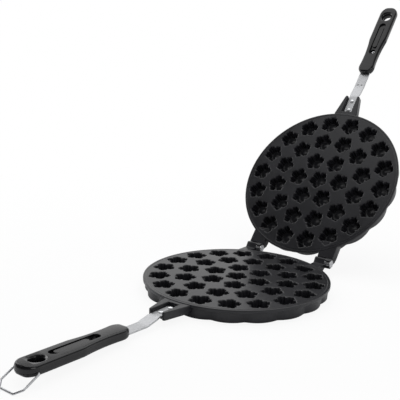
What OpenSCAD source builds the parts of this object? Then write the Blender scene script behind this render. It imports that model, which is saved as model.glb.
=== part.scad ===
// Hinged two-plate waffle pan with flower-shaped cups, straps, grips and a wire bail.
// Lower half lies flat on z = 0, the hinge is towards +Y and the grips towards -Y.
// The upper half is drawn open, leaning back on its hinge stops.

/* [Plates] */
// Diameter over the parting rim of each plate
plate_d = 200; // [196:1:206]
// Thickness of one half, from its flat back to its parting face
half_h = 14.5; // [14:0.5:17]
// Height of the plain rim band at the parting face
rim_h = 3.2; // [2.4:0.1:4]
// Metal left under each cup
floor_t = 2; // [1.6:0.1:2.6]
// Depth of the relief between the cup bosses on the back
relief_d = 4.5; // [3:0.5:6]

/* [Cups] */
// Radius of one petal of a cup
petal_r = 4.9; // [4.5:0.1:5.2]
// Distance of a petal's centre from the cup's centre
petal_at = 6.85; // [6.6:0.05:7]
// Radius of the round middle of a cup
core_r = 7.6; // [7:0.1:7.8]

/* [Hinge] */
// Opening angle at the stops, with 0 for closed
open_deg = 128.6; // [115:0.1:132]
// Radius of the bare pin that carries the upper half
pin_r = 3.5; // [3:0.1:3.7]
// Distance of the hinge axis behind the plate centre, beyond the plate radius
hinge_back = 5; // [4.8:0.1:6]

/* [Handles] */
// Thickness of the steel strap
strap_t = 1.8; // [1.5:0.1:2]
// Width of the strap outside the fork
strap_w = 13.6; // [12.8:0.2:14.4]
// Length of a grip
grip_len = 114; // [106:1:124]
// Greatest width of a grip
grip_w = 24; // [23:0.5:25.5]
// Thickness of a grip
grip_t = 9.5; // [9.2:0.1:10.4]
// Diameter of the hanging hole
hang_d = 12; // [10:0.5:12.5]
// Upward tilt of the lower handle
tilt_lower = 2.2; // [1.6:0.1:2.4]
// Upward tilt of the upper handle when closed
tilt_upper = 1; // [0.8:0.1:1.4]

/* [Bail] */
// Diameter of the bail wire
wire_d = 1.8; // [1.6:0.1:2]
// Length of the bail from its pivots to its end bar
bail_reach = 22.6; // [22.4:0.1:24]

/* [Hidden] */
$fn = 96;

// Slack of fixed pieces in their holes, of the hinge, and between faces that pass
seat = 0.04;
run = 0.05;
pass = 0.4;
// Gap between the parting faces when closed
part_gap = 0.4;

plate_r = plate_d / 2;
axis_y = plate_r + hinge_back;
axis_z = half_h + part_gap / 2;

// Cup rings
ring_n = [1, 6, 12, 18];
ring_r = [0, 0.2835 * plate_r, 0.5565 * plate_r, 0.828 * plate_r];
petal_turn = 26;
boss_r = petal_at + petal_r + 1.3;
flute_at = 0.6 * plate_r;
flute_r = 0.385 * plate_r;
relief_r = 0.885 * plate_r;

// Fork that holds the strap
fork_root = 15.6;
fork_tip = 10.2;
fork_gap = 12.8;
fork_end = plate_r + 29;
crotch_y = plate_r + 4.4;
fork_top = half_h - 0.6;
fork_web_z = half_h - 6.1;
fork_under = half_h - 8.8;

// Hinge stations along X and their widths
lug_x = [-56.5, 38];
lug_w = 13.2;
knuckle_r = 5.3;
shank_r = 2.4;
pin_out = 7.6;
hook_w = 5.6;
hook_r = pin_r + 2.3;
stop_gap = 0.15;
web_low = 6.2;

// Strap profile in a half's own frame
rivet_y = [-plate_r - 8.9, -plate_r - 22.6];
strap_in = -plate_r - 5.6;
strap_bend = -plate_r - 31;
strap_fall = 17;
strap_out = 70;
strap_low = strap_bend - strap_fall;
grip_y = -plate_r - strap_out;
tang_z = -6.4;
tang_len = 42;
tang_w = strap_w - 1.6;
screw_y = -tang_len + 6;

// Rivets and screws
rivet_r = 1.6;
rivet_head = 2.7;
screw_r = 1.7;
screw_head = 3;
screw_floor = 1.2;
screw_spare = 0.2;

// Half the reach of the shapes that trim a strap
far = 40;

// Grip details in the grip's own frame: inner face on z = 0, front end on y = 0
hang_y = -grip_len + 17.5;
pivot_y = hang_y - 7.6;
pivot_z = -6;
slot_w = 8.6;
slot_y = [screw_y + 3.5, -grip_len + 32.5];
slot_d = 2.2;
rib_w = 4.4;
bail_w = grip_w + 2 * pass + wire_d;
bar_half = 8;
bail_bend = pass + wire_d / 2 - run;
bend_steps = 5;
wire_sides = 18;
front_r = 9.5;
rear_r = 11;
inner_r = 2.6;
outer_r = 4.4;
waist_w = grip_w - 4.8;
waist_y = -28;
waist_r = 170;

// Grip frame of the lower half: height of the inner face under the parting plane
grip_drop = [1.8, 2.2];

// Places a piece given in a grip's own frame, for the lower half
module at_lower_grip() {
    translate([0, grip_y, axis_z - grip_drop[0]]) rotate([-tilt_lower, 0, 0]) children();
}

// Same for the upper half in its closed place, inner face down
module at_upper_grip() {
    translate([0, grip_y, axis_z + grip_drop[1]]) rotate([-tilt_upper, 0, 0])
        mirror([0, 0, 1]) children();
}

// Swings a closed upper piece to the open place
module opened() {
    translate([0, axis_y, axis_z]) rotate([-open_deg, 0, 0])
        translate([0, -axis_y, -axis_z]) children();
}

// Mirrors a piece of the lower half over the parting plane
module flipped() {
    translate([0, 0, 2 * axis_z]) mirror([0, 0, 1]) children();
}

// One flower outline with a petal towards angle a
module flower(a) {
    circle(r = core_r);
    for (k = [0:4])
        rotate(a + 72 * k) translate([petal_at, 0]) circle(r = petal_r);
}

// Puts one child at every cup centre
module each_cup() {
    for (i = [0:3])
        for (k = [0:ring_n[i] - 1])
            rotate(-90 + (i == 0 ? 154 : 180 / ring_n[i]) + 360 * k / ring_n[i])
                translate([ring_r[i], 0]) children();
}

// Fluted outline under the rim band
module flute_plan() {
    circle(r = relief_r);
    for (k = [0:17])
        rotate(-80 + 20 * k) translate([flute_at, 0]) circle(r = flute_r);
}

// Fork arms, web and rivet holes
module fork() {
    difference() {
        translate([0, 0, fork_under]) linear_extrude(height = fork_top - fork_under)
            polygon([[-fork_root, -plate_r + 6], [-fork_root, -plate_r - 1],
                     [-fork_tip, -fork_end + 2.4], [-fork_tip + 1.6, -fork_end],
                     [fork_tip - 1.6, -fork_end], [fork_tip, -fork_end + 2.4],
                     [fork_root, -plate_r - 1], [fork_root, -plate_r + 6]]);
        translate([-fork_gap / 2, -fork_end - 5, fork_web_z])
            cube([fork_gap, fork_end + 5 - crotch_y, 20]);
        translate([-fork_gap / 2, -fork_end - 5, -5])
            cube([fork_gap, fork_end + 5 - plate_r - 27, 30]);
        for (y = rivet_y)
            translate([0, y, -5]) cylinder(r = rivet_r + seat, h = 30);
    }
}

// Plate, cups and fork of one half, parting face up
module half_casting() {
    difference() {
        union() {
            translate([0, 0, half_h - rim_h]) cylinder(r = plate_r, h = rim_h);
            linear_extrude(height = half_h - 1) flute_plan();
            fork();
        }
        translate([0, 0, floor_t]) linear_extrude(height = half_h)
            each_cup() flower(petal_turn);
        translate([0, 0, -1]) linear_extrude(height = relief_d + 1) difference() {
            circle(r = relief_r - 1);
            each_cup() circle(r = boss_r);
        }
    }
}

// Runs a profile drawn in (y, z) about the hinge axis along +X from x0
module along_x(x0, w) {
    translate([x0, axis_y, axis_z]) rotate([90, 0, 90]) linear_extrude(height = w) children();
}

// Lower lug: arm, knuckle and the heel that stops the upper half
module lower_lug(x0) {
    y_in = -0.27 * plate_r;
    difference() {
        along_x(x0, lug_w) {
            circle(r = knuckle_r);
            polygon([[y_in, -part_gap / 2 - 0.3], [y_in, -10.5], [-8, -10.5],
                     [0, -knuckle_r], [knuckle_r * 0.7, -knuckle_r * 0.7],
                     [0, 0], [0, -part_gap / 2 - 0.3]]);
            rotate(180 - open_deg)
                polygon([[0, 0], [web_low - stop_gap, -4], [web_low - stop_gap, -9.6],
                         [web_low - 3.6, -9.6], [-2, -knuckle_r * 0.86]]);
        }
        translate([x0 + 2.4, axis_y, axis_z]) rotate([0, 90, 0])
            cylinder(r = shank_r + seat, h = lug_w);
    }
}

// Upper lug in the closed place: web from the plate and the hook round the pin
module upper_lug(x0) {
    hook_x = x0 + lug_w + pass;
    y_in = -0.27 * plate_r;
    along_x(x0 - 0.5, lug_w + 0.5 + pass + hook_w)
        polygon([[-web_low, pass], [-web_low, 9.8], [-10, 11], [y_in, 11], [y_in, pass]]);
    along_x(hook_x, hook_w) difference() {
        union() {
            circle(r = hook_r);
            polygon([[-web_low - 1, pass], [-web_low - 1, 9.8], [-web_low, 9.8],
                     [-1, hook_r], [0, 0], [-hook_r, pass]]);
        }
        circle(r = pin_r + run);
        rotate(open_deg - 180)
            polygon([[0, 0], [20, 24], [40, 0], [20, -24]]);
    }
}

// Stepped pin: shank in the knuckle, bare length and head
module hinge_pin(x0) {
    translate([x0, axis_y, axis_z]) rotate([0, 90, 0]) {
        translate([0, 0, 2.4 + seat]) cylinder(r = shank_r, h = lug_w - 2);
        translate([0, 0, lug_w]) cylinder(r = pin_r, h = pin_out);
        translate([0, 0, lug_w + hook_w + 2 * pass]) cylinder(r = pin_r + 0.6, h = 1.2);
    }
}

// Unit direction between two points, and the mitred offset of a path's points
function way(a, b) = (b - a) / norm(b - a);
function left(v) = [-v[1], v[0]];
function mitre(p, i, d) =
    let (n = len(p),
         a = i == 0 ? way(p[0], p[1]) : way(p[i - 1], p[i]),
         b = i == n - 1 ? way(p[n - 2], p[n - 1]) : way(p[i], p[i + 1]),
         m = left(a) + left(b))
    p[i] + d * 2 * m / (m * m);
function ribbon(p, t) =
    concat([for (i = [0:len(p) - 1]) mitre(p, i, t / 2)],
           [for (i = [len(p) - 1:-1:0]) mitre(p, i, -t / 2)]);

// Point (y, z) of the grip frame carried to a half's own frame
function grip_pt(y, z, drop, tilt) =
    [grip_y + y * cos(tilt) + z * sin(tilt), axis_z - drop - y * sin(tilt) + z * cos(tilt)];

// Strap of a half in its own frame; up is 1 when the tilt lifts it towards the parting plane
module strap(drop, tilt) {
    web = fork_web_z + strap_t / 2;
    g0 = grip_pt(0, tang_z, drop, tilt);
    g1 = grip_pt(-tang_len, tang_z, drop, tilt);
    low = g0[1] + (g0[0] - strap_low) * tan(tilt);
    path = [[strap_in, web], [strap_bend, web],
            [strap_bend - 3.2, web - 0.5], [strap_low + 3.2, low + 0.5],
            [strap_low, low], g0, g1];
    difference() {
        intersection() {
            rotate([90, 0, 90]) translate([0, 0, -strap_w / 2])
                linear_extrude(height = strap_w) polygon(ribbon(path, strap_t));
            union() {
                translate([-(fork_gap - 0.8) / 2, strap_bend - 4, -far])
                    cube([fork_gap - 0.8, 1.5 * far, 2 * far]);
                translate([0, 0, -far]) linear_extrude(height = 2 * far)
                    polygon([[-(fork_gap - 0.8) / 2, strap_bend + 0.8],
                             [-strap_w / 2, strap_bend - 2.4], [-strap_w / 2, grip_y + 0.01],
                             [strap_w / 2, grip_y + 0.01], [strap_w / 2, strap_bend - 2.4],
                             [(fork_gap - 0.8) / 2, strap_bend + 0.8]]);
                translate([-tang_w / 2, grip_y - 1.5 * far, -far])
                    cube([tang_w, 1.6 * far, 2 * far]);
            }
        }
        for (y = rivet_y)
            translate([0, y, -far]) cylinder(r = rivet_r + seat, h = 2 * far);
        translate([0, grip_y, axis_z - drop]) rotate([-tilt, 0, 0])
            translate([0, screw_y, -far]) cylinder(r = screw_r + seat, h = 2 * far);
    }
}

// Rivet with a domed head on the strap and a flat foot under the fork
module rivet(y) {
    top = fork_web_z + strap_t;
    translate([0, y, 0]) {
        translate([0, 0, fork_under - 0.8]) cylinder(r = rivet_head - 0.3, h = 0.8);
        translate([0, 0, fork_under - 0.8]) cylinder(r = rivet_r, h = top + 1.6 - fork_under);
        translate([0, 0, top]) cylinder(r = rivet_head, h = 0.5);
        translate([0, 0, top + 0.5]) cylinder(r1 = rivet_head, r2 = rivet_head - 1.3, h = 0.8);
    }
}

// Bar section with rounded corners, top edge on z = 0, corner radii r1 above and r2 below
module bar_section(w, t, r1, r2) {
    translate([-w / 2 + r1, -t / 2]) square([w - 2 * r1, t / 2]);
    translate([-w / 2, -t + r2]) square([w, t - r1 - r2]);
    translate([-w / 2 + r2, -t]) square([w - 2 * r2, t / 2]);
    for (m = [-1, 1]) {
        translate([m * (w / 2 - r1), -r1]) circle(r = r1);
        translate([m * (w / 2 - r2), -t + r2]) circle(r = r2);
    }
}

// Plan of a grip: waisted towards the front, rounder at the rear
module grip_plan() {
    difference() {
        union() {
            translate([-grip_w / 2 + front_r, -grip_len / 2])
                square([grip_w - 2 * front_r, grip_len / 2]);
            translate([-grip_w / 2, -grip_len + rear_r])
                square([grip_w, grip_len - front_r - rear_r]);
            translate([-grip_w / 2 + rear_r, -grip_len])
                square([grip_w - 2 * rear_r, grip_len / 2]);
            for (m = [-1, 1]) {
                translate([m * (grip_w / 2 - front_r), -front_r]) circle(r = front_r);
                translate([m * (grip_w / 2 - rear_r), -grip_len + rear_r]) circle(r = rear_r);
            }
        }
        for (m = [-1, 1])
            translate([m * (waist_w / 2 + waist_r), waist_y]) circle(r = waist_r);
    }
}

// Grip in its own frame
module grip() {
    difference() {
        intersection() {
            translate([0, 0, -grip_t - 1]) linear_extrude(height = grip_t + 2) grip_plan();
            translate([0, 1, 0]) rotate([90, 0, 0]) linear_extrude(height = grip_len + 2)
                bar_section(grip_w, grip_t, inner_r, outer_r);
            translate([-grip_w / 2 - 1, -grip_len / 2, 0]) rotate([90, 0, 90])
                linear_extrude(height = grip_w + 2) bar_section(grip_len, grip_t, inner_r, outer_r);
        }
        // Tang pocket
        translate([-tang_w / 2 - seat, -tang_len - 0.3, tang_z - strap_t / 2 - seat])
            cube([tang_w + 2 * seat, tang_len + 9, strap_t + 2 * seat]);
        // Hanging hole with a chamfered mouth
        translate([0, hang_y, -grip_t - 1]) cylinder(r = hang_d / 2, h = grip_t + 2);
        translate([0, hang_y, -1.2]) cylinder(r1 = hang_d / 2, r2 = hang_d / 2 + 1.4, h = 1.21);
        // Long slot with a rib left in the middle
        difference() {
            translate([0, 0, -slot_d]) linear_extrude(height = slot_d + 1) {
                translate([-slot_w / 2, slot_y[1]]) square([slot_w, slot_y[0] - slot_y[1]]);
                for (y = slot_y) translate([0, y]) circle(r = slot_w / 2);
            }
            translate([0, 0, -slot_d - 1]) linear_extrude(height = slot_d + 0.4) {
                translate([-rib_w / 2, slot_y[1] + 1]) square([rib_w, slot_y[0] - slot_y[1] - 12]);
                for (y = [slot_y[1] + 1, slot_y[0] - 11]) translate([0, y]) circle(r = rib_w / 2);
            }
        }
        // Screw well down to the tang, and the screw's bore below it
        translate([0, screw_y, tang_z]) cylinder(r = screw_head + 0.7, h = 20);
        translate([0, screw_y, -grip_t + screw_floor]) cylinder(r = screw_r + seat, h = grip_t);
    }
}

// Holes for the bail ends in the sides of a grip
module bail_holes() {
    for (m = [-1, 1])
        translate([m * (grip_w / 2 - 3.2), pivot_y, pivot_z]) rotate([0, m * 90, 0])
            cylinder(r = wire_d / 2 + run, h = 10);
}

// Grip screw: pan head on the tang
module grip_screw() {
    translate([0, screw_y, tang_z + strap_t / 2]) {
        difference() {
            union() {
                cylinder(r = screw_head, h = 1);
                translate([0, 0, 1]) cylinder(r1 = screw_head, r2 = screw_head - 0.9, h = 0.7);
            }
            translate([-2, -0.4, 0.9]) cube([4, 0.8, 2]);
            translate([-0.4, -2, 0.9]) cube([0.8, 4, 2]);
        }
    }
    tip = -grip_t + screw_floor + screw_spare;
    translate([0, screw_y, tip])
        cylinder(r = screw_r, h = tang_z + strap_t / 2 + 0.1 - tip);
}

// Direction angle of a stretch of a flat wire path, and the right turn at a vertex
function heading(p, i) = atan2(p[i + 1][1] - p[i][1], p[i + 1][0] - p[i][0]);
function turn(p, i) = (heading(p, i - 1) - heading(p, i) + 360) % 360;

// Points of the round bend at a vertex, and the whole path with its bends
function bend(p, i) =
    let (a = turn(p, i),
         d = way(p[i - 1], p[i]),
         c = p[i] - d * bail_bend * tan(a / 2) - left(d) * bail_bend,
         h = heading(p, i - 1) + 90)
    [for (k = [0:bend_steps])
        c + bail_bend * [cos(h - a * k / bend_steps), sin(h - a * k / bend_steps)]];
function bent(p) =
    concat([p[0]], [for (i = [1:len(p) - 2]) each bend(p, i)], [p[len(p) - 1]]);

// Round wire along a flat path, as one closed skin
module wire(path) {
    p = bent(path);
    n = wire_sides;
    last = len(p) - 1;
    rings = [for (i = [0:last])
        let (a = i == 0 ? way(p[0], p[1]) : way(p[i - 1], p[i]),
             b = i == last ? a : way(p[i], p[i + 1]),
             m = (left(a) + left(b)) / norm(left(a) + left(b)))
        for (k = [0:n - 1])
            let (c = wire_d / 2 * cos(360 * k / n), s = wire_d / 2 * sin(360 * k / n))
            [p[i][0] + m[0] * c, p[i][1] + m[1] * c, s]];
    walls = [for (i = [0:last - 1]) for (k = [0:n - 1])
        let (a = i * n + k, b = i * n + (k + 1) % n)
        each [[a, a + n, b + n], [a, b + n, b]]];
    ends = [[for (k = [0:n - 1]) k], [for (k = [n - 1:-1:0]) last * n + k]];
    polyhedron(points = rings, faces = concat(walls, ends));
}

// Bail laid flat towards -Y from its pivots
module bail_flat() {
    x = bail_w / 2;
    wire([[grip_w / 2 - 2.6, 0], [x, 0], [x, -bail_reach + 6], [bar_half, -bail_reach],
          [-bar_half, -bail_reach], [-x, -bail_reach + 6], [-x, 0], [-grip_w / 2 + 2.6, 0]]);
}

pivot = grip_pt(pivot_y, pivot_z, grip_drop[0], tilt_lower);
bail_drop = asin((pivot[1] - wire_d / 2 - 0.1) / bail_reach);

module lower_plate() {
    color("#2f2f31") {
        half_casting();
        for (x = lug_x) lower_lug(x);
    }
}

module upper_plate() {
    color("#2a2a2c") opened() {
        flipped() half_casting();
        for (x = lug_x) upper_lug(x);
    }
}

module hinge_pin_left() { color("#c9cbcf") hinge_pin(lug_x[0]); }
module hinge_pin_right() { color("#c9cbcf") hinge_pin(lug_x[1]); }

module lower_strap() { color("#c4c6ca") strap(grip_drop[0], tilt_lower); }
module upper_strap() { color("#c4c6ca") opened() flipped() strap(grip_drop[1], -tilt_upper); }

module lower_rivet_front() { color("#d2d4d8") rivet(rivet_y[0]); }
module lower_rivet_rear() { color("#d2d4d8") rivet(rivet_y[1]); }
module upper_rivet_front() { color("#d2d4d8") opened() flipped() rivet(rivet_y[0]); }
module upper_rivet_rear() { color("#d2d4d8") opened() flipped() rivet(rivet_y[1]); }

module lower_grip() {
    color("#17171a") at_lower_grip() difference() {
        grip();
        bail_holes();
    }
}

module upper_grip() { color("#17171a") opened() at_upper_grip() grip(); }

module lower_grip_screw() { color("#c9cbcf") at_lower_grip() grip_screw(); }
module upper_grip_screw() { color("#c9cbcf") opened() at_upper_grip() grip_screw(); }

module bail() {
    color("#c9cbcf") translate([0, pivot[0], pivot[1]]) rotate([bail_drop, 0, 0]) bail_flat();
}

lower_plate();
hinge_pin_left();
hinge_pin_right();
lower_strap();
lower_rivet_front();
lower_rivet_rear();
lower_grip();
lower_grip_screw();
bail();
upper_plate();
upper_strap();
upper_rivet_front();
upper_rivet_rear();
upper_grip();
upper_grip_screw();
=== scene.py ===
# %% [markdown]
# A round waffle pan for flower-shaped pieces, open on its hinge. Two coated cast plates face
# each other like a book, and each carries a steel strap and a moulded grip. This lesson
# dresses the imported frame: the moving bodies and their boxes come from it, and every piece
# made here rides on one of those bodies. All lengths are in metres, +Z up, hinge towards +Y.

# %% The frame
from math import asin, cos, degrees, pi, radians, sin, sqrt, tan

import bmesh
import bpy
from mathutils import Matrix, Vector


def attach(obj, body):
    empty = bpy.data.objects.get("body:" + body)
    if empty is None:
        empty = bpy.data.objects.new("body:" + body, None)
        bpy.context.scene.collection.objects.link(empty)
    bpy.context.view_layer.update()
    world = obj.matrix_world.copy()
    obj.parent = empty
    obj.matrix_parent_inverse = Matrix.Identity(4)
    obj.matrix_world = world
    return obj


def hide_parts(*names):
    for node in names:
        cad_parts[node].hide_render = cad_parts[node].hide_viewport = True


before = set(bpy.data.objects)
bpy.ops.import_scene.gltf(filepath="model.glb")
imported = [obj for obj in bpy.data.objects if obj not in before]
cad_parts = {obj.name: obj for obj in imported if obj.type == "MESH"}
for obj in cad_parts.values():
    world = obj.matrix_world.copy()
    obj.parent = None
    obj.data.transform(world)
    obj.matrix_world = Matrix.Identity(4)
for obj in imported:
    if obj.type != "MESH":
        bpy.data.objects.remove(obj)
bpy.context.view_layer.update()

# %% [markdown]
# The real sizes, named once. The two halves are castings from one pattern, so the upper one is
# the lower one mirrored over the parting plane and swung open about the hinge. Both are drawn
# in the lower, closed place and only the finished mesh is moved, so each size is given once.

# %% Sizes
MM = 0.001
PLATE_R, HALF_H, RIM_H = 100 * MM, 14.5 * MM, 3.2 * MM
AXIS_Y, AXIS_Z, OPEN = 105 * MM, 14.7 * MM, radians(128.6)
CUP_RINGS = ((1, 0.0), (6, 28.35 * MM), (12, 55.65 * MM), (18, 82.8 * MM))
CUP_PITCH, CENTRE_TURN, PETAL_TURN = CUP_RINGS[1][1], 154, radians(26)
FLOOR_T, RELIEF_D, BOSS_R = 2.0 * MM, 4.5 * MM, 13.05 * MM
TO_OPEN = (Matrix.Translation((0, AXIS_Y, AXIS_Z)) @ Matrix.Rotation(-OPEN, 4, "X")
           @ Matrix.Translation((0, -AXIS_Y, -AXIS_Z)))
OVER = Matrix.Translation((0, 0, 2 * AXIS_Z)) @ Matrix.Diagonal((1, 1, -1, 1))
PLACE = {"lower": Matrix.Identity(4), "upper": TO_OPEN @ OVER}
HALVES, BODY = ("lower", "upper"), {"lower": "lower_half", "upper": "upper_half"}
print("opening angle", round(degrees(OPEN), 1))

# %% [markdown]
# The camera stands where the photographer stood: to the right of the grips, a little above
# the plates, with a slight roll. Its place, lens and shift were solved from points that can
# be found both in the photograph and in the frame, so that the two pictures lie over each
# other.

# %% Camera
CAM_AT, CAM_TURN, CAM_RISE, CAM_ROLL = (0.39988, -0.58327, 0.25547), 35.53, 11.75, 2.044
SENSOR, PHOTO_PX, FOCAL_PX, SHIFT_PX = 36, 400, 690.9, (-27.27, -10.39)


def look_camera():
    az, el, roll = radians(CAM_TURN), radians(CAM_RISE), radians(CAM_ROLL)
    back = Vector((sin(az) * cos(el), -cos(az) * cos(el), sin(el)))
    right = (-back).cross(Vector((0, 0, 1))).normalized()
    up = right.cross(-back)
    right, up = right * cos(roll) + up * sin(roll), -right * sin(roll) + up * cos(roll)
    data = bpy.data.cameras.new("camera")
    data.sensor_width, data.lens = SENSOR, SENSOR * FOCAL_PX / PHOTO_PX
    data.shift_x, data.shift_y = SHIFT_PX[0] / PHOTO_PX, SHIFT_PX[1] / PHOTO_PX
    data.clip_start, data.clip_end = 0.01, 50
    cam = bpy.data.objects.new("camera", data)
    turn = Matrix((right, up, back)).transposed().to_4x4()
    cam.matrix_world = Matrix.Translation(CAM_AT) @ turn
    bpy.context.scene.collection.objects.link(cam)
    bpy.context.scene.camera = cam
    return cam


camera = look_camera()
print("lens", round(camera.data.lens, 1), "mm")

# %% [markdown]
# Materials come next. Colours are written as the hex values that the eye sees and turned
# linear by one function. One more function adds a node. Its keywords set inputs or
# properties, and its dictionary holds the links and the inputs whose names aren't one word.
# A noise stays mostly between LOW and HIGH, so a ramp from one tone to another runs there.
# Each material takes its tones as hex values and its roughness as a range, shiny to dull.

# %% Colour and node helpers
LOW, HIGH = 0.3, 0.7


def linear(code):
    c = [int(code[i:i + 2], 16) / 255 for i in (1, 3, 5)]
    return [x / 12.92 if x <= 0.04045 else ((x + 0.055) / 1.055) ** 2.4 for x in c] + [1.0]


def node(tree, kind, inputs=None, stops=(), **settings):
    n = tree.nodes.new(kind)
    for key, value in settings.items():
        if key in n.inputs:
            n.inputs[key].default_value = value
        else:
            setattr(n, key, value)
    for k, (place, colour) in enumerate(stops):
        n.color_ramp.elements[k].position = place
        n.color_ramp.elements[k].color = colour
    for key, value in (inputs or {}).items():
        if isinstance(value, bpy.types.NodeSocket):
            tree.links.new(value, n.inputs[key])
        else:
            n.inputs[key].default_value = value
    return n


def new_material(name):
    m = bpy.data.materials.new(name)
    m.use_nodes = True
    m.node_tree.nodes.clear()
    return m, m.node_tree


print("middle grey is", round(linear("#808080")[0], 3), "linear")

# %% [markdown]
# Cast aluminium with a sprayed PTFE coating. The casting is smooth, and the baked coating is
# a dark grey film with a fine orange peel and tiny pale mica specks. It looks satin: soft
# wide highlights, never a mirror. A noise's Scale counts its waves in a metre. The peel is
# about 0.5 mm, drawn at 1.5 mm so that it shows. The specks lie 1.1 mm apart, and the film's
# tone drifts over 3 cm. A picture of a coating could do this too, but a pattern in Object
# coordinates needs no unwrapping and has no seams.

# %% Non-stick coating
PEEL, SPECKS, DRIFT = 650.0, 900.0, 35.0
FLAKE_IN, FLAKE_OUT = 0.03, 0.1


def ptfe_coating(name, base, cloudy, mica, shiny, dull):
    m, t = new_material(name)
    spot = node(t, "ShaderNodeTexCoord").outputs["Object"]
    peel = node(t, "ShaderNodeTexNoise", {"Vector": spot}, Scale=PEEL, Detail=2.0)
    cloud = node(t, "ShaderNodeTexNoise", {"Vector": spot}, Scale=DRIFT, Detail=3.0)
    speck = node(t, "ShaderNodeTexVoronoi", {"Vector": spot}, Scale=SPECKS)
    flake = node(t, "ShaderNodeValToRGB", {"Fac": speck.outputs["Distance"]},
                 stops=((FLAKE_IN, (1, 1, 1, 1)), (FLAKE_OUT, (0, 0, 0, 1))))
    film = node(t, "ShaderNodeValToRGB", {"Fac": cloud.outputs["Fac"]},
                stops=((LOW, linear(base)), (HIGH, linear(cloudy))))
    mix = node(t, "ShaderNodeMix", {0: flake.outputs["Color"], 6: film.outputs["Color"],
                                    7: linear(mica)}, data_type="RGBA")
    gloss = node(t, "ShaderNodeMapRange", {"Value": cloud.outputs["Fac"],
                                           "To Min": shiny, "To Max": dull})
    bump = node(t, "ShaderNodeBump", {"Height": peel.outputs["Fac"]}, Strength=0.35,
                Distance=0.16 * MM)
    s = node(t, "ShaderNodeBsdfPrincipled",
             {"Base Color": mix.outputs[2], "Roughness": gloss.outputs["Result"],
              "Normal": bump.outputs["Normal"]}, IOR=1.45)
    node(t, "ShaderNodeOutputMaterial", {"Surface": s.outputs["BSDF"]})
    return m


COATING = ptfe_coating("ptfe_coated_cast_aluminium", "#18181b", "#202024", "#48484c",
                       0.27, 0.36)
print("material", COATING.name)

# %% [markdown]
# Rolled stainless strip, brushed lengthwise to a satin. The brush lines are 0.1 mm apart on
# the real strip and are drawn at 0.5 mm, as 2000 waves in a metre that a Mapping node
# stretches along the strip. The satin scatters the light widely, so the straps look pale grey
# from every side and never mirror the room. Pins and rivets are turned and the bail is drawn
# wire, with finer finishes that show no direction and a sharper glint.

# %% Steel finishes
BRUSH, ALONG_Y, EVEN = 2000.0, (1, 0.03, 1), (1, 1, 1)


def brushed_steel(name, tone, bright, stretch, shiny, dull):
    m, t = new_material(name)
    spot = node(t, "ShaderNodeTexCoord").outputs["Object"]
    lay = node(t, "ShaderNodeMapping", {"Vector": spot}, Scale=stretch)
    hair = node(t, "ShaderNodeTexNoise", {"Vector": lay.outputs["Vector"]}, Scale=BRUSH,
                Detail=3.0)
    tint = node(t, "ShaderNodeValToRGB", {"Fac": hair.outputs["Fac"]},
                stops=((LOW, linear(tone)), (HIGH, linear(bright))))
    gloss = node(t, "ShaderNodeMapRange", {"Value": hair.outputs["Fac"],
                                           "To Min": shiny, "To Max": dull})
    bump = node(t, "ShaderNodeBump", {"Height": hair.outputs["Fac"]}, Strength=0.06,
                Distance=0.02 * MM)
    s = node(t, "ShaderNodeBsdfPrincipled",
             {"Base Color": tint.outputs["Color"], "Roughness": gloss.outputs["Result"],
              "Normal": bump.outputs["Normal"]}, Metallic=1.0)
    node(t, "ShaderNodeOutputMaterial", {"Surface": s.outputs["BSDF"]})
    return m


STRIP = brushed_steel("brushed_stainless_strip", "#babbbd", "#c7c8ca", ALONG_Y, 0.41, 0.51)
TURNED = brushed_steel("turned_steel", "#dcdee0", "#ececee", EVEN, 0.23, 0.33)
DRAWN = brushed_steel("drawn_steel_wire", "#b9babd", "#cdced0", EVEN, 0.31, 0.41)
print("materials", STRIP.name, TURNED.name, DRAWN.name)

# %% [markdown]
# Phenolic resin, pressed hot in a polished mould. It is nearly black with a high gloss, and
# its surface waves a little over 7 mm, as moulded resin does where it shrank, so the studio
# light breaks softly. A finer noise of 0.7 mm varies the gloss like handling does.

# %% Phenolic resin
WAVE, HAZE = 140.0, 1400.0


def phenolic_resin(name, dark, pale, shiny, dull):
    m, t = new_material(name)
    spot = node(t, "ShaderNodeTexCoord").outputs["Object"]
    wave = node(t, "ShaderNodeTexNoise", {"Vector": spot}, Scale=WAVE, Detail=1.0)
    fine = node(t, "ShaderNodeTexNoise", {"Vector": spot}, Scale=HAZE, Detail=2.0)
    tint = node(t, "ShaderNodeValToRGB", {"Fac": wave.outputs["Fac"]},
                stops=((LOW, linear(dark)), (HIGH, linear(pale))))
    gloss = node(t, "ShaderNodeMapRange", {"Value": fine.outputs["Fac"],
                                           "To Min": shiny, "To Max": dull})
    bump = node(t, "ShaderNodeBump", {"Height": wave.outputs["Fac"]}, Strength=0.08,
                Distance=0.2 * MM)
    s = node(t, "ShaderNodeBsdfPrincipled",
             {"Base Color": tint.outputs["Color"], "Roughness": gloss.outputs["Result"],
              "Normal": bump.outputs["Normal"]}, IOR=1.44)
    node(t, "ShaderNodeOutputMaterial", {"Surface": s.outputs["BSDF"]})
    return m


RESIN = phenolic_resin("moulded_phenolic_resin", "#0c0c0e", "#121214", 0.14, 0.22)
print("material", RESIN.name)

# %% [markdown]
# Shared mesh helpers. A circle is a ring of points, and a loft joins rings of equal point
# counts with quads. Two more turn a bmesh into an object and pour one bmesh into another.
# Blender's own primitives and the Bridge tool could do the same by hand. In code every point
# is known, so the rings of neighbouring shapes can be made to meet exactly.

# %% Mesh helpers
def circle(r, z, n, y=0.0):
    return [(r * cos(2 * pi * k / n), y + r * sin(2 * pi * k / n), z) for k in range(n)]


def loft(bm, rings):
    rows = [[bm.verts.new(p) for p in ring] for ring in rings]
    n = len(rows[0])
    for a, b in zip(rows, rows[1:]):
        for k in range(n):
            bm.faces.new((a[k], a[(k + 1) % n], b[(k + 1) % n], b[k]))
    return rows


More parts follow.
